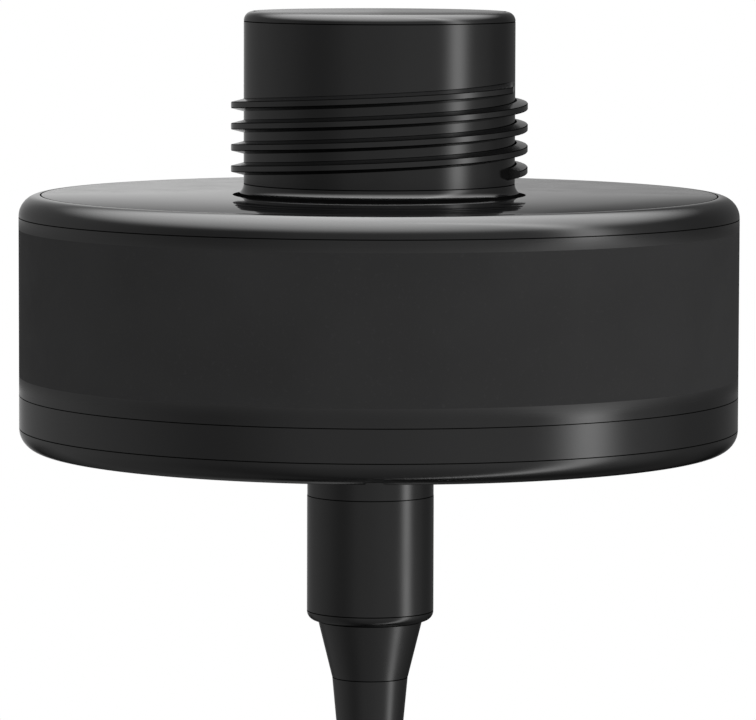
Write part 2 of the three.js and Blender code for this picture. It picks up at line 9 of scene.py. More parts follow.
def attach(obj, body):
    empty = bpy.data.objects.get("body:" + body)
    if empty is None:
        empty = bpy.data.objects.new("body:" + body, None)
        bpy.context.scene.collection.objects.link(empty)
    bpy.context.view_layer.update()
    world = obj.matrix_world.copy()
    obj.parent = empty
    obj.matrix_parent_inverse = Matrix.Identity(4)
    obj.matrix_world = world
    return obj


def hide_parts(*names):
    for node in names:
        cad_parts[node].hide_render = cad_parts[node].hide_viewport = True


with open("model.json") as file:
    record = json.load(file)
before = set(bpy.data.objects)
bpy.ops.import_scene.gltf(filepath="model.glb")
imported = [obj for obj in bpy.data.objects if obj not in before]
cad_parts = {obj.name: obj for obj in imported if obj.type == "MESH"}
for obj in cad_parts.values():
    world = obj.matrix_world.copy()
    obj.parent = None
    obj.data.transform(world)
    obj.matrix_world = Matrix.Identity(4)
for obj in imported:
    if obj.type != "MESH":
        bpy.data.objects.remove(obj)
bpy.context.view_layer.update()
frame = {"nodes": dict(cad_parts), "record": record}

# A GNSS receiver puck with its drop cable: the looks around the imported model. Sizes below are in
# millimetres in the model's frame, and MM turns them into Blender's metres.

MM = 0.001
SCENE = bpy.context.scene

# ---- sizes, as in the CAD model where no comment says otherwise ----

GAP = 0.3  # clearance between touching pieces
OVERRUN = 1  # how far a tool shape runs past the face that it joins or cuts

DISC_R = 42.5
DISC_FILLET = 2.5
DISC_BOTTOM = -30
PARTING_Z = -23.5
CAVITY_R = 39.5
WALL = 2.6
CEILING_Z = -WALL
FLOOR_Z = DISC_BOTTOM + WALL
STUB_R = 16
STUB_TOP = 21.6
STUB_TOP_FILLET = 1.1
STUB_BASE_FILLET = 1.3
STUB_BORE_R = 13.5
STUB_BORE_TOP = 19
CASE_SCREW_R = 33
BOARD_SCREW_R = 31
POST_R = 3.2
SCREW_HOLE_R = 1.5
SCREW_SHAFT_R = 1.2
SCREW_HEAD_R = 2.7
SCREW_HEAD_ROUNDING = 0.7
SCREW_RECESS_R = 3.1
SCREW_RECESS_TOP = DISC_BOTTOM + 2.4
CASE_HOLE_TOP = -12  # blind ends of the screw holes in the posts
BOARD_HOLE_TOP = -5.5
CASE_SCREW_TIP = -13.5
BOARD_SEAT = -11.7
COVER_TOP = PARTING_Z - GAP
SPIGOT_INNER_R = 37
SPIGOT_OUTER_R = 39.1
SPIGOT_TOP = COVER_TOP + 2.8
SEAL_GROOVE_INNER_R = 40.2
SEAL_GROOVE_OUTER_R = 41.8
SEAL_GROOVE_FLOOR = COVER_TOP - 1.2
SEAM = 0.05  # width of a closed parting line, finer than the CAD model's gap
SEAM_EDGE = 0.03  # broken edge on each side of it

M12_X = -0.94
BOSS_R = 7.5
BOSS_Z = -35.6  # seam between the boss and the coupling nut
BARREL_R = 6
FLANGE_R = 9.5
FLANGE_BOTTOM = FLOOR_Z + GAP
FLANGE_TOP = FLANGE_BOTTOM + 1.8
RECEPTACLE_END = -45.6
RECEPTACLE_BORE_R = 4.5
M12_THREAD_R = 5.9
M12_MINOR_R = 5.35  # root of the thread's turns, which the CAD model leaves out
PIN_R = 0.5
PIN_HOLE_R = 0.8
PIN_CIRCLE_R = 2.5

# Heights on a plug count from the seam plane BOSS_Z.
NUT_R = 7.52
NUT_FOOT = -14.95
NUT_SHOULDER = 1.1
NUT_BORE_R = 6.2
NECK_R = 4.7
PLUG_FLANGE_R = NUT_BORE_R - GAP
PLUG_FLANGE_TOP = -12.2
PLUG_FLANGE_FOOT = -13
NUT_LIP = PLUG_FLANGE_FOOT - GAP
CONE_TOP_R = 6.16
CONE_TOP_Z = -15.07  # nearer to the nut than in the CAD model
CONE_FOOT_Z = -21.8
GRIP_R = 4.5
RELIEF_END_R = 3.3
RELIEF_END_Z = -34.4
SLEEVE_TIP = 4.5
SLEEVE_BORE_R = 4.6
SLEEVE_FLOOR = -9
NUT_FACE = -3
INSERT_R = 4.2
INSERT_FACE = -4
INSERT_BACK = -11.9
PIN_TIP = 3.4
PIN_BACK = -10.7

CABLE_R = 3
LEAD_STRAIGHT = 16
LEAD_BEND_R = 30
COIL_R = 35.6
COIL_TURNS = 4
LAY_SLOTS = 5
LAY_R = 5.25
TAIL_LENGTH = 36

CABLE_EXIT_Z = BOSS_Z + RELIEF_END_Z
BEND_ANGLE = math.acos(LEAD_BEND_R / (LEAD_BEND_R + COIL_R + LAY_R))
BEND_TOP_Z = CABLE_EXIT_Z - LEAD_STRAIGHT
COIL_Z = BEND_TOP_Z - (LEAD_BEND_R + COIL_R + LAY_R) * math.sin(BEND_ANGLE)
COIL_SWEEP = COIL_TURNS * 2 * math.pi + BEND_ANGLE
TAIL_X = M12_X + COIL_R + LAY_R * math.cos(COIL_SWEEP / LAY_SLOTS)
TAIL_Y = -LAY_R * math.sin(COIL_SWEEP / LAY_SLOTS)
FAR_PLUG_Z = COIL_Z - TAIL_LENGTH - GAP + RELIEF_END_Z

# ---- camera ----

CAMERA_AT = (0, -0.6462, 0.03778)
CAMERA_PITCH = math.radians(5.08)
CAMERA_ROLL = 0.0028
CAMERA_LENS = 261.0
CAMERA_SENSOR = 36
CAMERA_SHIFT = (-0.00097, 0.00066)


def make_camera():
    data = bpy.data.cameras.new("camera")
    data.lens = CAMERA_LENS
    data.sensor_width = CAMERA_SENSOR
    data.shift_x, data.shift_y = CAMERA_SHIFT
    data.clip_start = 0.01
    data.clip_end = 200
    camera = bpy.data.objects.new("camera", data)
    SCENE.collection.objects.link(camera)
    tilt = Matrix.Rotation(math.pi / 2 - CAMERA_PITCH, 4, "X")
    camera.matrix_world = (
        Matrix.Translation(CAMERA_AT) @ tilt @ Matrix.Rotation(CAMERA_ROLL, 4, "Z")
    )
    SCENE.camera = camera


make_camera()

# ---- cable ----

LEAD_STEPS = 4
BEND_STEPS = 12
COIL_STEPS = 26 * COIL_TURNS + 5
TAIL_STEPS = 5


def cable_route():
    """Down from the strain relief, over to the coil's outer side, round it and down to the plug."""
    straight = LEAD_STRAIGHT / LEAD_STEPS
    points = [(M12_X, 0, CABLE_EXIT_Z - straight * i) for i in range(LEAD_STEPS)]
    for i in range(BEND_STEPS):
        angle = BEND_ANGLE * i / BEND_STEPS
        x = M12_X + LEAD_BEND_R * (1 - math.cos(angle))
        points.append((x, 0, BEND_TOP_Z - LEAD_BEND_R * math.sin(angle)))
    for i in range(COIL_STEPS + 1):
        sweep = COIL_SWEEP * i / COIL_STEPS
        radius = COIL_R + LAY_R * math.cos(sweep / LAY_SLOTS)
        around = math.pi / 2 - BEND_ANGLE + sweep  # clockwise from the top
        x = M12_X + radius * math.sin(around)
        y = -LAY_R * math.sin(sweep / LAY_SLOTS)
        points.append((x, y, COIL_Z + radius * math.cos(around)))
    for i in range(1, TAIL_STEPS + 1):
        points.append((TAIL_X, TAIL_Y, COIL_Z - TAIL_LENGTH * i / TAIL_STEPS))
    return points


def make_cable():
    curve = bpy.data.curves.new("drop_cable", "CURVE")
    curve.dimensions = "3D"
    curve.bevel_depth = CABLE_R * MM
    curve.bevel_resolution = 7
    curve.resolution_u = 4
    curve.use_fill_caps = True
    route = cable_route()
    spline = curve.splines.new("BEZIER")
    spline.bezier_points.add(len(route) - 1)
    for point, place in zip(spline.bezier_points, route):
        point.co = Vector(place) * MM
        point.handle_left_type = "AUTO"
        point.handle_right_type = "AUTO"
    cable = bpy.data.objects.new("drop_cable", curve)
    SCENE.collection.objects.link(cable)
    return cable


cable = make_cable()

# ---- mesh helpers ----

MAIN = 0  # material index of a piece's surface
LINE = 1  # material index of the painted shade in its seams, scribed lines and edge lines
BAND = 2  # material index of the housing's matt band, whose lighter colour is painted reflection


def add_object(name, bm):
    """Puts a bmesh in millimetres into the scene as an object in metres."""
    bmesh.ops.recalc_face_normals(bm, faces=bm.faces)
    bmesh.ops.scale(bm, vec=(MM, MM, MM), verts=bm.verts)
    mesh = bpy.data.meshes.new(name)
    bm.to_mesh(mesh)
    bm.free()
    piece = bpy.data.objects.new(name, mesh)
    SCENE.collection.objects.link(piece)
    return piece


def add_turned(bm, profile, segments, centre=(0, 0), radius_at=None):
    """Turns a profile of (radius, height[, material of the next band]) about a vertical axis."""
    rings = []
    for radius, height, *_ in profile:
        if radius < 1e-6:
            rings.append([bm.verts.new((*centre, height))])
            continue
        ring = []
        for i in range(segments):
            angle = 2 * math.pi * i / segments
            r = radius_at(radius, height, angle) if radius_at else radius
            x = centre[0] + r * math.cos(angle)
            ring.append(bm.verts.new((x, centre[1] + r * math.sin(angle), height)))
        rings.append(ring)
    bands = list(zip(range(len(rings) - 1), range(1, len(rings))))
    if len(rings[0]) > 1:
        bands.append((len(rings) - 1, 0))
    for a, b in bands:
        for i in range(segments):
            j = (i + 1) % segments
            corners = [rings[a][i % len(rings[a])], rings[b][i % len(rings[b])]]
            corners += [rings[b][j % len(rings[b])], rings[a][j % len(rings[a])]]
            face = bm.faces.new(list(dict.fromkeys(corners)))
            face.material_index = profile[a][2] if len(profile[a]) > 2 else MAIN


def turned(name, profile, segments=96, centre=(0, 0), radius_at=None):
    bm = bmesh.new()
    add_turned(bm, profile, segments, centre, radius_at)
    return add_object(name, bm)


def add_rod(bm, radius, bottom, top, at=(0, 0), segments=32):
    add_turned(bm, [(0, bottom), (radius, bottom), (radius, top), (0, top)], segments, at)


def add_block(bm, low, high):
    size = [b - a for a, b in zip(low, high)]
    middle = Matrix.Translation([(a + b) / 2 for a, b in zip(low, high)])
    bmesh.ops.create_cube(bm, size=1, matrix=middle @ Matrix.Diagonal((*size, 1)))


def corner(r, z, radius, start, end, steps=10):
    """Points of a round corner about (r, z), angles in degrees from the outward direction."""
    points = []
    for i in range(steps + 1):
        angle = math.radians(start + (end - start) * i / steps)
        points.append((r + radius * math.cos(angle), z + radius * math.sin(angle)))
    return points


SCRIBE_HALF = 0.06
SCRIBE_DEPTH = 0.05


def scribe(r, z, way="down", half=SCRIBE_HALF):
    """A fine groove with painted shade in it, that the profile passes on its way down or up a wall,
    or out over a level face."""
    if way == "out":
        return [(r - half, z, LINE), (r, z - SCRIBE_DEPTH, LINE), (r + half, z)]
    sign = {"down": -1, "up": 1}[way]
    return [(r, z - sign * half, LINE), (r - SCRIBE_DEPTH, z, LINE), (r, z + sign * half)]


def apply_modifiers(piece):
    graph = bpy.context.evaluated_depsgraph_get()
    mesh = bpy.data.meshes.new_from_object(piece.evaluated_get(graph))
    piece.modifiers.clear()
    piece.data = mesh


def combine(piece, tools, operation):
    """Joins a bmesh of closed tool shapes to a piece, or cuts them out of it."""
    tool = add_object("tool", tools)
    modifier = piece.modifiers.new("combine", "BOOLEAN")
    modifier.operation = operation
    modifier.object = tool
    modifier.solver = "MANIFOLD"
    apply_modifiers(piece)
    bpy.data.objects.remove(tool)


TURNED_LIMIT = 0.02  # a face that leans less than this round an axis was turned about it


def shade(piece, axes=((0, 0),), sharp_degrees=32):
    """Smooth shading with sharp edges kept. On turned faces the normals point exactly away from
    their axis, so that no facet or cut shows in a reflection."""
    mesh = piece.data
    mesh.polygons.foreach_set("use_smooth", [True] * len(mesh.polygons))
    mesh.set_sharp_from_angle(angle=math.radians(sharp_degrees))
    normals = [Vector(n.vector) for n in mesh.corner_normals]

    def lean(polygon, axis):
        out = Vector((polygon.center.x - axis[0] * MM, polygon.center.y - axis[1] * MM))
        flat = Vector(polygon.normal.xy)
        return abs(out.normalized().cross(flat)) if out.length > 0 else 1

    for polygon in mesh.polygons:
        axis = min(axes, key=lambda a: lean(polygon, a))
        if lean(polygon, axis) > TURNED_LIMIT:
            continue
        for loop in polygon.loop_indices:
            place = mesh.vertices[mesh.loops[loop].vertex_index].co
            out = Vector((place.x - axis[0] * MM, place.y - axis[1] * MM, 0))
            if out.length < 1e-7:
                continue
            out.normalize()
            normal = normals[loop]
            outward = math.copysign(normal.xy.length, normal.dot(out))
            normals[loop] = (out * outward + Vector((0, 0, normal.z))).normalized()
    mesh.normals_split_custom_set(normals)


def bevel(piece, width, segments):
    """Rounds every edge of a piece that is sharper than a turned surface's facets."""
    modifier = piece.modifiers.new("bevel", "BEVEL")
    modifier.width = width * MM
    modifier.segments = segments
    modifier.limit_method = "ANGLE"
    modifier.angle_limit = math.radians(35)
    apply_modifiers(piece)


# ---- materials ----


class Nodes:
    """The node tree of a material or world, emptied, and the ways to add to it."""

    def __init__(self, owner):
        owner.use_nodes = True
        self.tree = owner.node_tree
        self.tree.nodes.clear()

    def node(self, kind, **settings):
        made = self.tree.nodes.new(kind)
        for name, value in settings.items():
            setattr(made, name, value)
        return made

    def link(self, source, target):
        self.tree.links.new(source, target)

    def between(self, factor, low, high, start=0.3, end=0.7):
        """A number that goes from low to high as the factor goes from start to end."""
        ranged = self.node("ShaderNodeMapRange")
        ranged.inputs["From Min"].default_value = start
        ranged.inputs["From Max"].default_value = end
        ranged.inputs["To Min"].default_value = low
        ranged.inputs["To Max"].default_value = high
        self.link(factor, ranged.inputs["Value"])
        return ranged.outputs["Result"]

    def math(self, operation, *values):
        made = self.node("ShaderNodeMath", operation=operation)
        for socket, value in zip(made.inputs, values):
            if isinstance(value, bpy.types.NodeSocket):
                self.link(value, socket)
            else:
                socket.default_value = value
        return made.outputs[0]


class Finish(Nodes):
    """A material with one Principled shader and what feeds it."""

    def __init__(self, name, metallic=0.0, specular=0.5):
        self.material = bpy.data.materials.new(name)
        super().__init__(self.material)
        self.shader = self.node("ShaderNodeBsdfPrincipled")
        self.shader.inputs["Metallic"].default_value = metallic
        self.shader.inputs["Specular IOR Level"].default_value = specular
        output = self.node("ShaderNodeOutputMaterial")
        self.link(self.shader.outputs["BSDF"], output.inputs["Surface"])
        self.place = self.node("ShaderNodeTexCoord").outputs["Object"]

    def stretched(self, scale):
        """The place on the piece with each axis scaled, for grain that runs one way."""
        mapping = self.node("ShaderNodeMapping")
        mapping.inputs["Scale"].default_value = scale
        self.link(self.place, mapping.inputs["Vector"])
        return mapping.outputs["Vector"]

    def noise(self, size, detail=2.0, place=None):
        """Cloudy noise with features of about that many millimetres, from 0 to 1."""
        noise = self.node("ShaderNodeTexNoise")
        noise.inputs["Scale"].default_value = 1000 / size
        noise.inputs["Detail"].default_value = detail
        self.link(place or self.place, noise.inputs["Vector"])
        return noise.outputs["Fac"]

    def near_height(self, middle, full, none):
        """1 within that many millimetres of a height on the piece, falling to 0 further off."""
        axes = self.node("ShaderNodeSeparateXYZ")
        self.link(self.place, axes.inputs["Vector"])
        off = self.math("ABSOLUTE", self.math("SUBTRACT", axes.outputs["Z"], middle * MM))
        return self.between(off, 1, 0, full * MM, none * MM)

    def mixed(self, factor, first, second):
        """One colour where the factor is 0 and the other where it is 1."""
        mix = self.node("ShaderNodeMix", data_type="RGBA")
        self.link(factor, mix.inputs["Factor"])
        for socket, colour in ((mix.inputs["A"], first), (mix.inputs["B"], second)):
            if isinstance(colour, bpy.types.NodeSocket):
                self.link(colour, socket)
            else:
                socket.default_value = (*colour, 1)
        return mix.outputs["Result"]

    def colour(self, source):
        self.link(source, self.shader.inputs["Base Color"])

    def roughness(self, source):
        self.link(source, self.shader.inputs["Roughness"])

    def bump(self, heights):
        """Bumps laid over each other, each as (height source, height in millimetres)."""
        normal = None
        for source, height in heights:
            bump = self.node("ShaderNodeBump")
            bump.inputs["Distance"].default_value = height * MM
            bump.inputs["Strength"].default_value = 1.0
            self.link(source, bump.inputs["Height"])
            if normal:
                self.link(normal, bump.inputs["Normal"])
            normal = bump.outputs["Normal"]
        self.link(normal, self.shader.inputs["Normal"])


def shades(base, spread):
    return [c * (1 - spread) for c in base], [c * (1 + spread) for c in base]


SPECK_SHADE = 1.4  # brightness of the grain's specks over the plastic's own


def moulded(name, base, roughness, grain, grain_height, spread=0.25, specular=0.5, zones=()):
    """Moulded plastic: a fine spark-eroded grain, faint flow clouds and small dull patches. Zones
    are (middle height, half height, the same with its soft edge, added roughness)."""
    finish = Finish(name, specular=specular)
    clouds = finish.noise(14, 3)
    specks = finish.noise(0.35, 1)
    patches = finish.noise(5, 4)
    dark, light = shades(base, spread)
    cloudy = finish.mixed(finish.between(clouds, 0, 1), dark, light)
    speck = finish.between(specks, 0, 0.5, 0.62, 0.78)
    finish.colour(finish.mixed(speck, cloudy, [c * SPECK_SHADE for c in base]))
    rough = finish.between(patches, roughness * 0.92, roughness * 1.12)
    for middle, full, none, added in zones:
        zone = finish.near_height(middle, full, none)
        rough = finish.math("ADD", rough, finish.math("MULTIPLY", zone, added))
    finish.roughness(rough)
    grains = finish.noise(grain, 2)
    finish.bump([(grains, grain_height), (clouds, grain_height * 2)])
    return finish.material


def elastomer(name, base, roughness, grain, height, wave=0.0):
    """Rubber or soft plastic: matt grain, dusty patches and long shallow waves."""
    finish = Finish(name, specular=0.4)
    dust = finish.noise(9, 5)
    dark, light = shades(base, 0.3)
    finish.colour(finish.mixed(finish.between(dust, 0, 1), dark, light))
    finish.roughness(finish.between(dust, roughness * 0.88, min(1, roughness * 1.12)))
    bumps = [(finish.noise(grain, 3), height)]
    if wave:
        bumps.append((finish.noise(4, 1), wave))
    finish.bump(bumps)
    return finish.material


def metal(name, base, roughness, brush=(1, 1, 1), tarnish=0.12, height=0.001):
    """Metal with fine tool marks along one direction and faint tarnish clouds."""
    finish = Finish(name, metallic=1.0)
    marks = finish.noise(0.25, 2, finish.stretched(brush))
    clouds = finish.noise(3, 4)
    dark, light = shades(base, tarnish)
    finish.colour(finish.mixed(finish.between(clouds, 0, 1), dark, [min(1, c) for c in light]))
    finish.roughness(finish.between(marks, roughness * 0.7, roughness * 1.3))
    finish.bump([(marks, height)])
    return finish.material


def laminate():
    """Green solder mask over a glass weave, with brighter copper areas under it."""
    finish = Finish("board_laminate")
    copper = finish.noise(2.2, 0)
    traces = finish.between(copper, 0, 1, 0.48, 0.52)
    finish.colour(finish.mixed(traces, (0.008, 0.07, 0.028), (0.016, 0.13, 0.05)))
    weave = finish.node("ShaderNodeTexWave", wave_type="BANDS", bands_direction="X")
    weave.inputs["Scale"].default_value = 300
    finish.link(finish.place, weave.inputs["Vector"])
    finish.roughness(finish.between(copper, 0.32, 0.45))
    finish.bump([(weave.outputs["Fac"], 0.01), (copper, 0.03)])
    return finish.material


def dark_line():
    """The shadowed bottom of a seam or scribed line."""
    finish = Finish("seam_shadow", specular=0.0)
    dust = finish.noise(1.5, 3)
    finish.colour(finish.mixed(dust, (0.0008, 0.0008, 0.0008), (0.0022, 0.0022, 0.0022)))
    finish.roughness(finish.between(dust, 0.6, 0.8))
    return finish.material


HOUSING = (0.0022, 0.0022, 0.0023)
BAND_TOP = -4.0
BAND_FOOT = -21.3
BAND_EDGE = 1.5  # height over which the gloss fades before the band
BAND_MIDDLE = (BAND_TOP + BAND_FOOT) / 2
BAND_HALF = (BAND_TOP - BAND_FOOT) / 2
HOUSING_ZONES = [
    (BAND_MIDDLE, BAND_HALF, BAND_HALF + BAND_EDGE, 0.3),
    (0, 0.05, 0.3, -0.09),  # the polished seat
    (-43, 7.5, 7.6, 0.04),  # the coupling nut
]
FINISHES = {
    "housing_plastic": moulded("housing_plastic", HOUSING, 0.16, 0.3, 0.0006, zones=HOUSING_ZONES),
    "grip_elastomer": moulded("grip_elastomer", HOUSING, 0.26, 0.22, 0.0012),
    "cable_jacket": elastomer("cable_jacket", (0.016, 0.016, 0.016), 0.5, 0.3, 0.006, 0.02),
    "seal_rubber": elastomer("seal_rubber", (0.012, 0.012, 0.012), 0.6, 0.4, 0.008),
    "tie_nylon": moulded("tie_nylon", (0.014, 0.014, 0.014), 0.38, 0.5, 0.002),
    "screw_steel": metal("screw_steel", (0.6, 0.6, 0.61), 0.28, (1, 1, 12)),
    "nut_steel": metal("nut_steel", (0.56, 0.56, 0.57), 0.3, (1, 1, 10)),
    "tinned_steel": metal("tinned_steel", (0.62, 0.62, 0.61), 0.36, (1, 8, 1), 0.2),
    "contact_gold": metal("contact_gold", (0.83, 0.6, 0.26), 0.22, (1, 1, 10), 0.1),
    "board_laminate": laminate(),
    "antenna_ceramic": moulded("antenna_ceramic", (0.62, 0.54, 0.4), 0.5, 0.2, 0.004, 0.06),
    "black_plastic": moulded("black_plastic", (0.014, 0.014, 0.015), 0.42, 0.3, 0.003),
    "ivory_plastic": moulded("ivory_plastic", (0.72, 0.67, 0.56), 0.4, 0.4, 0.002, 0.05),
}
LEAD_COLOURS = [
    (0.19, 0.07, 0.018),
    (0.75, 0.74, 0.7),
    (0.014, 0.05, 0.27),
    (0.012, 0.012, 0.012),
    (0.26, 0.26, 0.27),
]
SEAM_SHADOW = dark_line()
# The matt band's colour, lighter than the housing's, is painted reflection in place of the gloss.
MATT_BAND_PAINTED_REFLECTION = moulded("matt_band_painted_reflection", (0.0188, 0.0188, 0.019), 0.6, 0.25, 0.002, 0.08, specular=0.05)

# ---- pieces ----


def keep(piece, body, slot, *nodes, extra=()):
    """Gives a piece its finishes, its body and the CAD nodes that it stands for."""
    faces = getattr(piece.data, "polygons", [])
    indices = [face.material_index for face in faces]
    piece.data.materials.clear()
    for finish in (FINISHES[slot], *extra):
        piece.data.materials.append(finish)
    for face, index in zip(faces, indices):
        face.material_index = index
    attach(piece, body)
    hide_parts(*nodes)
    return piece


def polar(radius, degrees, centre=(0, 0)):
    angle = math.radians(degrees)
    return centre[0] + radius * math.cos(angle), centre[1] + radius * math.sin(angle)


CASE_SCREWS = [polar(CASE_SCREW_R, angle) for angle in (0, 90, 180, 270)]
BOARD_SCREWS = [polar(BOARD_SCREW_R, angle) for angle in (45, 135, 225, 315)]
M12 = (M12_X, 0)

# The stub's two-start thread: flank heights at the wall and at the crest, and where a rib starts.
STUB_THREAD = {
    "crest": 17.5,
    "root": 15,
    "base_half": 0.75,
    "crest_half": 0.37,
    "lead": 5,
    "foot_z": 2.75,
    "foot_degrees": -20,
    "full_sweep": 712.7,
    "sweep": 735,
    "step": 3,
}

CREST_LINE = 0.05  # width of a rib's lines of painted shade, as shares of its height over the wall
ROOT_LINE = 0.15
RUN_OUT_STEPS = 8
SINK = 0.05  # how far the run-out's end lies inside the wall


def add_rib(bm, wall, thread, turn=0, centre=(0, 0)):
    """One helical rib. Its lower end is cut square and its upper end sinks into the wall, with a
    line of painted shade where that begins, along the edges of its crest and along its upper root."""
    half, crest = thread["crest_half"], thread["crest"]
    slope = (thread["base_half"] - half) / (crest - wall)
    ease = CREST_LINE * (crest - wall)
    root_line = ROOT_LINE * (crest - wall)
    section = [(thread["root"], -half - slope * (crest - thread["root"]), MAIN)]
    section += [(crest - ease, -half - slope * ease, LINE), (crest, -half + ease, MAIN)]
    section += [(crest, half - ease, LINE), (crest - ease, half + slope * ease, MAIN)]
    section.append((wall + root_line, half + slope * (crest - wall - root_line), LINE))
    section.append((thread["root"], half + slope * (crest - thread["root"]), MAIN))
    count = round(thread["full_sweep"] / thread["step"])
    sweeps = [thread["full_sweep"] * i / count for i in range(count + 1)]
    mark = thread["full_sweep"] + math.degrees(2 * SCRIBE_HALF / crest)
    last = (thread["sweep"] - mark) / RUN_OUT_STEPS
    sweeps += [mark + last * i for i in range(RUN_OUT_STEPS + 1)]
    run_out = math.radians(thread["sweep"] - thread["full_sweep"])
    sunk = wall - SINK
    rings = []
    for sweep in sweeps:
        # the run-out is cut along a straight line from the crest to just inside the wall
        along = math.radians(max(0, sweep - thread["full_sweep"]))
        across = crest * math.sin(along) + sunk * math.sin(run_out - along)
        share = (crest * sunk * math.sin(run_out) / across - sunk) / (crest - sunk)
        ring = []
        for radius, height, _ in section:
            r = sunk + (radius - sunk) * share if radius > sunk else radius
            x, y = polar(r, thread["foot_degrees"] + turn + sweep, centre)
            z = thread["foot_z"] + height + thread["lead"] * sweep / 360
            ring.append(bm.verts.new((x, y, z)))
        rings.append(ring)
    size = len(section)
    for k, (a, b) in enumerate(zip(rings, rings[1:])):
        for i in range(size):
            j = (i + 1) % size
            dark = LINE if k == count else section[i][2]
            bm.faces.new((a[i], a[j], b[j], b[i])).material_index = dark
    bm.faces.new(rings[0])
    bm.faces.new(rings[-1])


DISC_SEGMENTS = 256
FACE_LINE_HALF = 0.1
FOOT_SHADOW = 52  # degrees round the stub's base fillet to where the painted shade at its foot begins


def make_upper_housing():
    top_r = STUB_R - STUB_TOP_FILLET
    base_r = STUB_R + STUB_BASE_FILLET
    face_r = DISC_R - DISC_FILLET
    # the lower part of the base fillet is painted dark as the shade at the stub's foot
    foot = corner(base_r, STUB_BASE_FILLET, STUB_BASE_FILLET, 180 + FOOT_SHADOW, 270, 6)
    profile = [
        (0, STUB_TOP),
        *scribe(top_r - FACE_LINE_HALF, STUB_TOP, "out", FACE_LINE_HALF),
        *corner(top_r, STUB_TOP - STUB_TOP_FILLET, STUB_TOP_FILLET, 90, 0)[1:-1],
        *scribe(STUB_R, STUB_TOP - STUB_TOP_FILLET - SCRIBE_HALF),
        *scribe(STUB_R, STUB_BASE_FILLET + SCRIBE_HALF),
        *corner(base_r, STUB_BASE_FILLET, STUB_BASE_FILLET, 180, 180 + FOOT_SHADOW)[1:-1],
        *[(r, z, LINE) for r, z in foot[:-1]],
        (base_r, 0),
        *scribe(face_r - FACE_LINE_HALF, 0, "out", FACE_LINE_HALF),
        *corner(face_r, -DISC_FILLET, DISC_FILLET, 90, 0, 16)[1:-1],
        *scribe(DISC_R, -DISC_FILLET - SCRIBE_HALF),
        (DISC_R, BAND_TOP, BAND),
        (DISC_R, BAND_FOOT),
        (DISC_R, PARTING_Z + SEAM_EDGE, LINE),
        (DISC_R - SEAM_EDGE, PARTING_Z, LINE),
        (CAVITY_R, PARTING_Z),
        (CAVITY_R, CEILING_Z),
        (STUB_BORE_R, CEILING_Z),
        (STUB_BORE_R, STUB_BORE_TOP),
        (0, STUB_BORE_TOP),
    ]
    piece = turned("upper_housing_fine", profile, DISC_SEGMENTS)
    added = bmesh.new()
    for at in CASE_SCREWS:
        add_rod(added, POST_R, PARTING_Z, CEILING_Z + OVERRUN, at)
    for at in BOARD_SCREWS:
        add_rod(added, POST_R, BOARD_SEAT, CEILING_Z + OVERRUN, at)
    combine(piece, added, "UNION")
    for turn in (0, 180):
        rib = bmesh.new()
        add_rib(rib, STUB_R, STUB_THREAD, turn)
        combine(piece, rib, "UNION")
    holes = bmesh.new()
    for at in CASE_SCREWS:
        add_rod(holes, SCREW_HOLE_R, PARTING_Z - OVERRUN, CASE_HOLE_TOP, at, 16)
    for at in BOARD_SCREWS:
        add_rod(holes, SCREW_HOLE_R, BOARD_SEAT - OVERRUN, BOARD_HOLE_TOP, at, 16)
    combine(piece, holes, "DIFFERENCE")
    shade(piece)
    extra = (SEAM_SHADOW, MATT_BAND_PAINTED_REFLECTION)
    return keep(piece, "receiver", "housing_plastic", "upper_housing", extra=extra)


NOTCH_X = -0.41
NOTCH_FRONT = -43
NOTCH_BACK = -37
NOTCH_LEVELS = ((DISC_BOTTOM - 0.2, 1.26), (DISC_BOTTOM + 0.35, 0.88))  # (height, half width)


def add_notch(bm):
    """The cutter of the drain notch at the front edge of the underside, narrower at its top."""
    rings = []
    for z, half in NOTCH_LEVELS:
        left, right = NOTCH_X - half, NOTCH_X + half
        front = [(left, NOTCH_FRONT, z), (right, NOTCH_FRONT, z)]
        back = [(right, NOTCH_BACK, z), (left, NOTCH_BACK, z)]
        rings.append([bm.verts.new(place) for place in front + back])
    bm.faces.new(rings[0])
    bm.faces.new(rings[1])
    for i in range(4):
        j = (i + 1) % 4
        bm.faces.new((rings[0][i], rings[0][j], rings[1][j], rings[1][i]))
    # the notch's faces are painted dark as the shade inside it
    for face in bm.faces:
        face.material_index = LINE


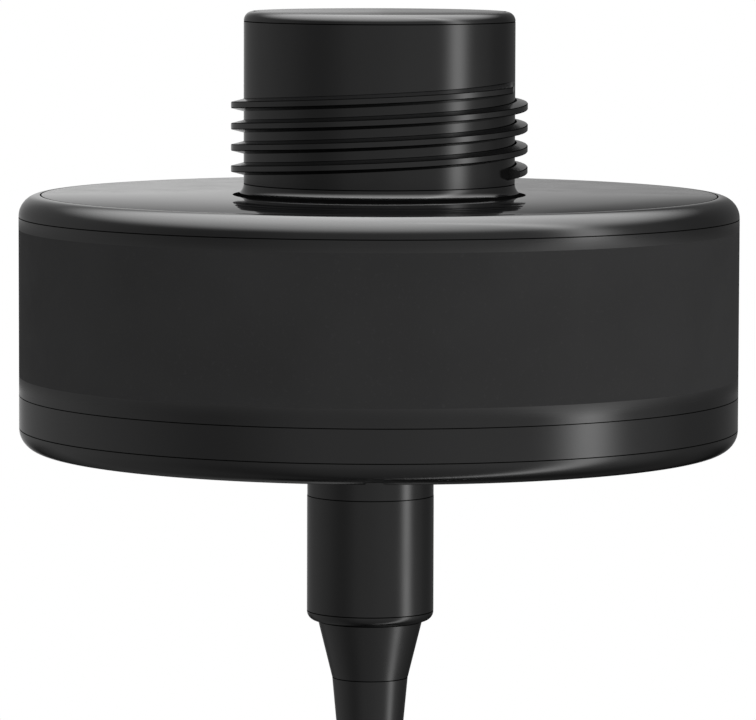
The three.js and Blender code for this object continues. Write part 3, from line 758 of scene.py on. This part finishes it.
def make_lower_cover():
    seam_z = PARTING_Z - SEAM
    profile = [
        (0, DISC_BOTTOM),
        *corner(DISC_R - DISC_FILLET, DISC_BOTTOM + DISC_FILLET, DISC_FILLET, -90, 0, 16)[:-1],
        *scribe(DISC_R, DISC_BOTTOM + DISC_FILLET + SCRIBE_HALF, "up"),
        (DISC_R, seam_z - SEAM_EDGE, LINE),
        (DISC_R - SEAM_EDGE, seam_z, LINE),
        (SEAL_GROOVE_OUTER_R + 0.1, seam_z),
        (SEAL_GROOVE_OUTER_R, SEAL_GROOVE_FLOOR),
        (SEAL_GROOVE_INNER_R, SEAL_GROOVE_FLOOR),
        (SEAL_GROOVE_INNER_R, COVER_TOP),
        (SPIGOT_OUTER_R, COVER_TOP),
        (SPIGOT_OUTER_R, SPIGOT_TOP),
        (SPIGOT_INNER_R, SPIGOT_TOP),
        (SPIGOT_INNER_R, FLOOR_Z),
        (0, FLOOR_Z),
    ]
    piece = turned("lower_cover_fine", profile, DISC_SEGMENTS)
    added = bmesh.new()
    boss = [
        (0, BOSS_Z),
        (BOSS_R - SEAM_EDGE, BOSS_Z, LINE),
        (BOSS_R, BOSS_Z + SEAM_EDGE),
        (BOSS_R, FLOOR_Z - OVERRUN),
        (0, FLOOR_Z - OVERRUN),
    ]
    add_turned(added, boss, 128, M12)
    for at in CASE_SCREWS:
        add_rod(added, POST_R + 1, FLOOR_Z - OVERRUN, COVER_TOP, at)
    combine(piece, added, "UNION")
    holes = bmesh.new()
    for at in CASE_SCREWS:
        add_rod(holes, SCREW_RECESS_R, DISC_BOTTOM - OVERRUN, SCREW_RECESS_TOP, at, 48)
    add_rod(holes, BARREL_R + GAP, BOSS_Z - OVERRUN, FLOOR_Z + OVERRUN, M12, 64)
    combine(piece, holes, "DIFFERENCE")
    shafts = bmesh.new()
    for at in CASE_SCREWS:
        add_rod(shafts, SCREW_HOLE_R, DISC_BOTTOM, COVER_TOP + OVERRUN, at, 16)
    combine(piece, shafts, "DIFFERENCE")
    notch = bmesh.new()
    add_notch(notch)
    combine(piece, notch, "DIFFERENCE")
    shade(piece, ((0, 0), M12))
    return keep(piece, "receiver", "housing_plastic", "lower_cover", extra=(SEAM_SHADOW,))


CROSS_LONG = 1.5  # half length and half width of the cross recess's arms
CROSS_SHORT = 0.28
CROSS_DEPTH = 1.1


def make_case_screw(index, at):
    """A pan-head screw in the underside, head down, with a cross recess."""
    head, top = DISC_BOTTOM + GAP, SCREW_RECESS_TOP - GAP
    round_r = SCREW_HEAD_R - SCREW_HEAD_ROUNDING
    profile = [
        (0, head),
        *corner(round_r, head + SCREW_HEAD_ROUNDING, SCREW_HEAD_ROUNDING, -90, 0, 5),
        (SCREW_HEAD_R, top - 0.1),
        (SCREW_HEAD_R - 0.1, top),
        (SCREW_SHAFT_R, top),
        (SCREW_SHAFT_R, CASE_SCREW_TIP - 1),
        (0, CASE_SCREW_TIP),
    ]
    piece = turned(f"case_screw_{index}_fine", profile, 48, at)
    for half_x, half_y in ((CROSS_LONG, CROSS_SHORT), (CROSS_SHORT, CROSS_LONG)):
        cross = bmesh.new()
        low = (at[0] - half_x, at[1] - half_y, head - OVERRUN)
        high = (at[0] + half_x, at[1] + half_y, head + CROSS_DEPTH)
        add_block(cross, low, high)
        combine(piece, cross, "DIFFERENCE")
    shade(piece, (at,))
    return keep(piece, "receiver", "screw_steel", f"case_screw_{index}")


M12_THREAD = {
    "crest": M12_THREAD_R,
    "root": 5.1,
    "base_half": 0.42,
    "crest_half": 0.08,
    "lead": 1,
    "foot_z": -45.0,
    "foot_degrees": 0,
    "full_sweep": 3060,
    "sweep": 3150,
    "step": 10,
}


def make_receptacle():
    """The metal receptacle with its threaded barrel, which the coupling nut hides when closed."""
    profile = [
        (RECEPTACLE_BORE_R, RECEPTACLE_END),
        (M12_MINOR_R - 0.1, RECEPTACLE_END),
        (M12_MINOR_R, RECEPTACLE_END + 0.1),
        (M12_MINOR_R, BOSS_Z - 0.5),
        (M12_THREAD_R, BOSS_Z - 0.2),
        (BARREL_R, BOSS_Z),
        (BARREL_R, FLANGE_BOTTOM),
        (FLANGE_R, FLANGE_BOTTOM),
        (FLANGE_R, FLANGE_TOP),
        (RECEPTACLE_BORE_R, FLANGE_TOP),
    ]
    piece = turned("receptacle_fine", profile, 96, M12)
    rib = bmesh.new()
    add_rib(rib, M12_MINOR_R, M12_THREAD, 0, M12)
    combine(piece, rib, "UNION")
    shade(piece, (M12,))
    return keep(piece, "receiver", "screw_steel", "receptacle_body", extra=(SEAM_SHADOW,))


def make_coupling_nut():
    base = BOSS_Z
    shoulder_z = base + NUT_FOOT + NUT_SHOULDER
    profile = [
        (NUT_BORE_R, base - SEAM, MAIN),
        (NUT_R - SEAM_EDGE, base - SEAM, LINE),
        (NUT_R, base - SEAM - SEAM_EDGE),
        *scribe(NUT_R, shoulder_z + SCRIBE_HALF),
        *corner(NUT_R - NUT_SHOULDER, shoulder_z, NUT_SHOULDER, 0, -90)[1:],
        (NECK_R + GAP, base + NUT_FOOT),
        (NECK_R + GAP, base + NUT_LIP),
        (NUT_BORE_R, base + NUT_LIP),
    ]
    piece = turned("coupling_nut_fine", profile, 160, M12)
    shade(piece, (M12,))
    return keep(piece, "nut", "housing_plastic", "coupling_nut", extra=(SEAM_SHADOW,))


FIRST_SLOT_Z = -28.4
SLOT_PITCH = 1.35
SLOT_WIDTH = 0.65
SLOT_COUNT = 4
SLOT_DEPTH = 0.75
SLOT_HALF_ANGLE = 66
SLOT_STEPS = 12


def relief_radius(z):
    share = (CONE_FOOT_Z - z) / (CONE_FOOT_Z - RELIEF_END_Z)
    return GRIP_R + (RELIEF_END_R - GRIP_R) * share


def add_slot(bm, inner, low, high, middle):
    """An arc-shaped cutter that takes a slot out of the strain relief's wall."""
    outer = NUT_R
    rings = []
    for i in range(SLOT_STEPS + 1):
        angle = middle + SLOT_HALF_ANGLE * (2 * i / SLOT_STEPS - 1)
        ring = []
        for r, z in ((inner, low), (outer, low), (outer, high), (inner, high)):
            ring.append(bm.verts.new((*polar(r, angle), z)))
        rings.append(ring)
    for a, b in zip(rings, rings[1:]):
        for i in range(4):
            j = (i + 1) % 4
            bm.faces.new((a[i], a[j], b[j], b[i]))
    bm.faces.new(rings[0])
    bm.faces.new(rings[-1])


def make_overmould(name, node, place):
    """The moulded grip of a plug: flange and neck in the nut, cone, and slotted strain relief."""
    profile = [
        (0, PLUG_FLANGE_TOP),
        (PLUG_FLANGE_R - 0.2, PLUG_FLANGE_TOP),
        (PLUG_FLANGE_R, PLUG_FLANGE_TOP - 0.2),
        (PLUG_FLANGE_R, PLUG_FLANGE_FOOT),
        (NECK_R, PLUG_FLANGE_FOOT),
        (NECK_R, CONE_TOP_Z + 0.02),
        (CONE_TOP_R - 0.05, CONE_TOP_Z + 0.02, LINE),
        (CONE_TOP_R, CONE_TOP_Z - 0.05),
        (GRIP_R + 0.02, CONE_FOOT_Z + SCRIBE_HALF, LINE),
        (GRIP_R - SCRIBE_DEPTH, CONE_FOOT_Z, LINE),
        (GRIP_R - 0.01, CONE_FOOT_Z - SCRIBE_HALF),
        (RELIEF_END_R + 0.05, RELIEF_END_Z + 0.3),
        (RELIEF_END_R - 0.25, RELIEF_END_Z),
        (0, RELIEF_END_Z),
    ]
    piece = turned(name, profile, 128)
    slots = bmesh.new()
    for i in range(SLOT_COUNT):
        high = FIRST_SLOT_Z - i * SLOT_PITCH
        inner = relief_radius(high) - SLOT_DEPTH
        for side in (0, 180):
            add_slot(slots, inner, high - SLOT_WIDTH, high, side + 90 * (i % 2))
    combine(piece, slots, "DIFFERENCE")
    shade(piece)
    piece.data.transform(place)
    return keep(piece, "plug", "grip_elastomer", node, extra=(SEAM_SHADOW,))


NEAR_PLUG = Matrix.Translation((M12_X * MM, 0, BOSS_Z * MM))
FAR_PLUG_AT = Matrix.Translation((TAIL_X * MM, TAIL_Y * MM, FAR_PLUG_Z * MM))
FAR_PLUG = FAR_PLUG_AT @ Matrix.Rotation(math.pi, 4, "X")

FLUTES = 40
FLUTE_DEPTH = 0.28
FLUTE_SEGMENTS = 8  # segments round the nut for each flute
FLUTED_TOP = -3.5
SLEEVE_THREAD = {
    **M12_THREAD,
    "crest": M12_THREAD_R - 0.02,
    "foot_z": -2.2,
    "full_sweep": 2070,
    "sweep": 2160,
}


def make_far_nut():
    """The far plug's coupling nut: a fluted grip ring and the male thread sleeve in front of it."""
    shoulder_z = NUT_FOOT + NUT_SHOULDER

    def fluted(radius, height, angle):
        fluted_zone = shoulder_z + 0.3 < height < FLUTED_TOP and radius > NUT_R - 0.01
        return radius - FLUTE_DEPTH * (0.5 - 0.5 * math.cos(FLUTES * angle)) * fluted_zone

    profile = [
        (M12_MINOR_R - 0.25, SLEEVE_TIP),
        (M12_MINOR_R, SLEEVE_TIP - 0.25),
        (M12_MINOR_R, NUT_FACE),
        (NUT_R - 0.5, NUT_FACE),
        (NUT_R - 0.02, FLUTED_TOP + 0.05),
        (NUT_R, FLUTED_TOP - 0.4),
        (NUT_R, FLUTED_TOP - 4.7),
        (NUT_R, shoulder_z + 0.7),
        (NUT_R - 0.02, shoulder_z + 0.2),
        *corner(NUT_R - NUT_SHOULDER, shoulder_z, NUT_SHOULDER, 0, -90, 6)[1:],
        (NECK_R + GAP, NUT_FOOT),
        (NECK_R + GAP, NUT_LIP),
        (NUT_BORE_R, NUT_LIP),
        (NUT_BORE_R, SLEEVE_FLOOR),
        (SLEEVE_BORE_R, SLEEVE_FLOOR),
        (SLEEVE_BORE_R, SLEEVE_TIP),
    ]
    piece = turned("far_plug_nut_fine", profile, FLUTES * FLUTE_SEGMENTS, radius_at=fluted)
    rib = bmesh.new()
    add_rib(rib, M12_MINOR_R, SLEEVE_THREAD)
    combine(piece, rib, "UNION")
    shade(piece, sharp_degrees=38)
    piece.data.transform(FAR_PLUG)
    return keep(piece, "far_nut", "nut_steel", "far_plug_nut", extra=(SEAM_SHADOW,))


CONTACTS = [polar(PIN_CIRCLE_R, angle) for angle in (45, 135, 225, 315)] + [(0, 0)]


def make_far_insert():
    """The male insert: a bevelled disc with a coding nose and a hole round each pin."""
    profile = [
        (0, INSERT_BACK),
        (INSERT_R, INSERT_BACK),
        (INSERT_R, INSERT_FACE - 0.2),
        (INSERT_R - 0.2, INSERT_FACE),
        (0, INSERT_FACE),
    ]
    piece = turned("far_insert_fine", profile, 64)
    holes = bmesh.new()
    for at in CONTACTS:
        add_rod(holes, PIN_HOLE_R, INSERT_BACK + 0.9, INSERT_FACE + OVERRUN, at, 24)
    combine(piece, holes, "DIFFERENCE")
    nose = bmesh.new()
    add_block(nose, (INSERT_R - 1, -0.5, INSERT_FACE - 2), (INSERT_R - 0.05, 0.5, INSERT_FACE + 0.8))
    combine(piece, nose, "UNION")
    shade(piece)
    piece.data.transform(FAR_PLUG)
    return keep(piece, "plug", "black_plastic", "far_plug_insert")


def make_far_pin(index, at):
    """A gold contact pin with a round tip."""
    dome_z = PIN_TIP - PIN_R
    dome = corner(0, dome_z, PIN_R, 0, 90, 6)[1:-1]
    profile = [(0, PIN_BACK), (PIN_R, PIN_BACK), (PIN_R, dome_z), *dome, (0, PIN_TIP)]
    piece = turned(f"far_pin_{index}_fine", profile, 24, at)
    shade(piece, (at,))
    piece.data.transform(FAR_PLUG)
    return keep(piece, "plug", "contact_gold", f"far_pin_{index}")


TIE_ANGLES = (40, 220)  # degrees round the coil from its right side upwards
TIE_INNER_R = 8.34
TIE_OUTER_R = 9.35
TIE_HALF_WIDTH = 2.2
TIE_TEETH = 72
TOOTH_SEGMENTS = 4
TOOTH_DEPTH = 0.12
TOOTHED_HALF = 1.4
# Blocks from one corner to the other: out from the band's inner face, round it and across it.
TIE_LOCK = ((0.5, -2.6, -3.0), (4.6, 2.6, 3.0))
TIE_LOCK_ROUNDING = 0.5
TIE_LOCK_SLOT = ((2.3, -3, -2.35), (3.7, 3, 2.35))
TIE_TAIL = ((2.45, -2.9, -TIE_HALF_WIDTH), (3.5, 4.2, TIE_HALF_WIDTH))


def tie_block(corners):
    block = bmesh.new()
    add_block(block, *[(TIE_INNER_R + out, along, across) for out, along, across in corners])
    return block


def make_tie(index, degrees):
    """A cable tie round the coil's bundle: toothed band, lock with its slot, and the cut tail."""

    def toothed(radius, height, angle):
        tooth = TOOTH_DEPTH * (0.5 - 0.5 * math.cos(TIE_TEETH * angle))
        return radius - tooth * (radius > TIE_OUTER_R - 0.05 and abs(height) < TOOTHED_HALF)

    upper = [
        (TIE_OUTER_R, TOOTHED_HALF - 0.05),
        (TIE_OUTER_R, TOOTHED_HALF + 0.1),
        (TIE_OUTER_R, TIE_HALF_WIDTH - 0.2),
        (TIE_OUTER_R - 0.2, TIE_HALF_WIDTH),
        (TIE_INNER_R, TIE_HALF_WIDTH),
    ]
    profile = [(r, -z) for r, z in reversed(upper)] + upper
    segments = TIE_TEETH * TOOTH_SEGMENTS
    band = turned(f"coil_tie_{index}_fine", profile, segments, radius_at=toothed)
    lock_piece = add_object("lock", tie_block(TIE_LOCK))
    bevel(lock_piece, TIE_LOCK_ROUNDING, 3)
    lock = bmesh.new()
    lock.from_mesh(lock_piece.data)
    bmesh.ops.scale(lock, vec=(1 / MM,) * 3, verts=lock.verts)
    bpy.data.objects.remove(lock_piece)
    combine(band, lock, "UNION")
    combine(band, tie_block(TIE_LOCK_SLOT), "DIFFERENCE")
    combine(band, tie_block(TIE_TAIL), "UNION")
    shade(band)
    x, z = polar(COIL_R, degrees, (M12_X, COIL_Z))
    move = Matrix.Translation((x * MM, 0, z * MM))
    band.data.transform(move @ Matrix.Rotation(math.radians(-degrees), 4, "Y"))
    return keep(band, "plug", "tie_nylon", f"coil_tie_{index}")


make_upper_housing()
make_lower_cover()
for number, spot in enumerate(CASE_SCREWS, 1):
    make_case_screw(number, spot)
make_receptacle()
make_coupling_nut()
make_overmould("plug_overmould_fine", "plug_overmould", NEAR_PLUG)
far_pieces = [make_overmould("far_overmould_fine", "far_plug_overmould", FAR_PLUG)]
far_pieces += [make_far_nut(), make_far_insert()]
far_pieces += [make_far_pin(number, spot) for number, spot in enumerate(CONTACTS, 1)]
ties = [make_tie(number, degrees) for number, degrees in enumerate(TIE_ANGLES, 1)]

keep(cable, "plug", "cable_jacket", "cable_lead", "cable_coil", "cable_tail")

# ---- finishes of the CAD nodes that stay ----


def dress_nodes():
    for part in frame["record"]["subparts"]:
        name, slot = part["node"], part["material_slot"]
        node = frame["nodes"][name]
        if slot == "lead_insulation":
            number = int(name.rsplit("_", 1)[1])
            colour = LEAD_COLOURS[number - 1]
            finish = elastomer(f"lead_insulation_{number}", colour, 0.4, 0.3, 0.003)
        else:
            finish = FINISHES[slot]
        node.data.materials.clear()
        node.data.materials.append(finish)


dress_nodes()

# ---- studio ----

# Brightness of the room's walls as (degrees right of the front, level), what is left of it towards
# the floor and the brightness of the ceiling, both as (sine of the elevation, level).
ROOM = [
    (-180, 0.65),
    (-176, 0.79),
    (-172, 0.62),
    (-164, 0.38),
    (-150, 0.26),
    (-130, 0.31),
    (-90, 0.44),
    (-70, 0.38),
    (-55, 0.33),
    (-40, 0.39),
    (-20, 0.555),
    (0, 0.6),
    (40, 0.7),
    (75, 0.66),
    (100, 0.43),
    (122, 0.18),
    (140, 0.13),
    (168, 0.15),
    (176, 0.42),
    (180, 0.54),
]
BELOW = [
    (-1, 0.3),
    (-0.97, 0.5),
    (-0.85, 0.7),
    (-0.6, 0.9),
    (-0.2, 1.15),
    (-0.1, 1.15),
    (0, 1),
    (1, 1),
]
CEILING = [
    (0, 0),
    (0.4, 0),
    (0.47, 0.36),
    (0.62, 2.6),
    (0.71, 4.2),
    (0.87, 6.4),
    (0.97, 8.1),
    (1, 8.4),
]
STRIP_AT = 69.5  # degrees right of the front
STRIP_SPREAD = 9
STRIP_LEVEL = 3.9
DARK_BEHIND = (0.6, 0.9)  # northward part of the direction over which the dark corner begins
DARK_BELOW = (-0.15, -0.3)  # upward part of it
DARKENING = 0.96


def by_curve(nodes, value, levels):
    """The level at a value, along a smooth curve through the listed points."""
    start, end = levels[0][0], levels[-1][0]
    peak = max(level for _, level in levels)
    curve = nodes.node("ShaderNodeFloatCurve")
    points = curve.mapping.curves[0].points
    while len(points) < len(levels):
        points.new(0.5, 0.5)
    for point, (at, level) in zip(points, levels):
        point.location = ((at - start) / (end - start), level / peak)
        point.handle_type = "AUTO_CLAMPED"
    curve.mapping.update()
    share = nodes.math("DIVIDE", nodes.math("SUBTRACT", value, start), end - start)
    nodes.link(share, curve.inputs["Value"])
    return nodes.math("MULTIPLY", curve.outputs["Value"], peak)


def make_room():
    """A studio room as the world: walls, a bright ceiling, darkness low behind the object and one
    upright strip light on the right. The camera itself sees plain white."""
    world = bpy.data.worlds.new("studio_room")
    SCENE.world = world
    nodes = Nodes(world)
    axes = nodes.node("ShaderNodeSeparateXYZ")
    nodes.link(nodes.node("ShaderNodeTexCoord").outputs["Generated"], axes.inputs[0])
    east, north, up = axes.outputs
    azimuth = nodes.math("ARCTAN2", east, nodes.math("MULTIPLY", north, -1.0))
    degrees = nodes.math("DEGREES", azimuth)

    behind = nodes.between(north, 0, 1, *DARK_BEHIND)
    below = nodes.between(up, 0, 1, *DARK_BELOW)
    darkened = nodes.math("MULTIPLY", nodes.math("MULTIPLY", behind, below), DARKENING)
    walls = nodes.math("MULTIPLY", by_curve(nodes, degrees, ROOM), by_curve(nodes, up, BELOW))
    walls = nodes.math("MULTIPLY", walls, nodes.math("SUBTRACT", 1.0, darkened))
    room = nodes.math("ADD", walls, by_curve(nodes, up, CEILING))
    offset = nodes.math("DIVIDE", nodes.math("SUBTRACT", degrees, STRIP_AT), STRIP_SPREAD)
    fall = nodes.math("MULTIPLY", nodes.math("MULTIPLY", offset, offset), -1.0)
    strip = nodes.math("MULTIPLY", nodes.math("EXPONENT", fall), STRIP_LEVEL)

    seen = nodes.node("ShaderNodeBackground")
    seen.inputs["Color"].default_value = (1, 1, 1, 1)
    lit = nodes.node("ShaderNodeBackground")
    nodes.link(nodes.math("ADD", room, strip), lit.inputs["Strength"])
    chooser = nodes.node("ShaderNodeMixShader")
    nodes.link(nodes.node("ShaderNodeLightPath").outputs["Is Camera Ray"], chooser.inputs["Fac"])
    nodes.link(lit.outputs[0], chooser.inputs[1])
    nodes.link(seen.outputs[0], chooser.inputs[2])
    output = nodes.node("ShaderNodeOutputWorld")
    nodes.link(chooser.outputs[0], output.inputs["Surface"])


FLOOR_LEVEL = -0.26  # metres, below the hanging cable
FLOOR_HALF = 60


def make_floor():
    """A plain white floor that only the camera sees, so that it throws no light up."""
    bm = bmesh.new()
    bmesh.ops.create_grid(bm, x_segments=1, y_segments=1, size=FLOOR_HALF)
    mesh = bpy.data.meshes.new("studio_floor")
    bm.to_mesh(mesh)
    bm.free()
    floor = bpy.data.objects.new("studio_floor", mesh)
    floor.location.z = FLOOR_LEVEL
    SCENE.collection.objects.link(floor)
    for ray in ("diffuse", "glossy", "transmission", "volume_scatter", "shadow"):
        setattr(floor, f"visible_{ray}", False)
    paper = bpy.data.materials.new("white_paper")
    nodes = Nodes(paper)
    glow = nodes.node("ShaderNodeEmission")
    clear = nodes.node("ShaderNodeBsdfTransparent")
    chooser = nodes.node("ShaderNodeMixShader")
    output = nodes.node("ShaderNodeOutputMaterial")
    back = nodes.node("ShaderNodeNewGeometry").outputs["Backfacing"]
    nodes.link(back, chooser.inputs["Fac"])
    nodes.link(glow.outputs[0], chooser.inputs[1])
    nodes.link(clear.outputs[0], chooser.inputs[2])
    nodes.link(chooser.outputs[0], output.inputs["Surface"])
    floor.data.materials.append(paper)


make_room()
make_floor()
SCENE.view_settings.view_transform = "Standard"
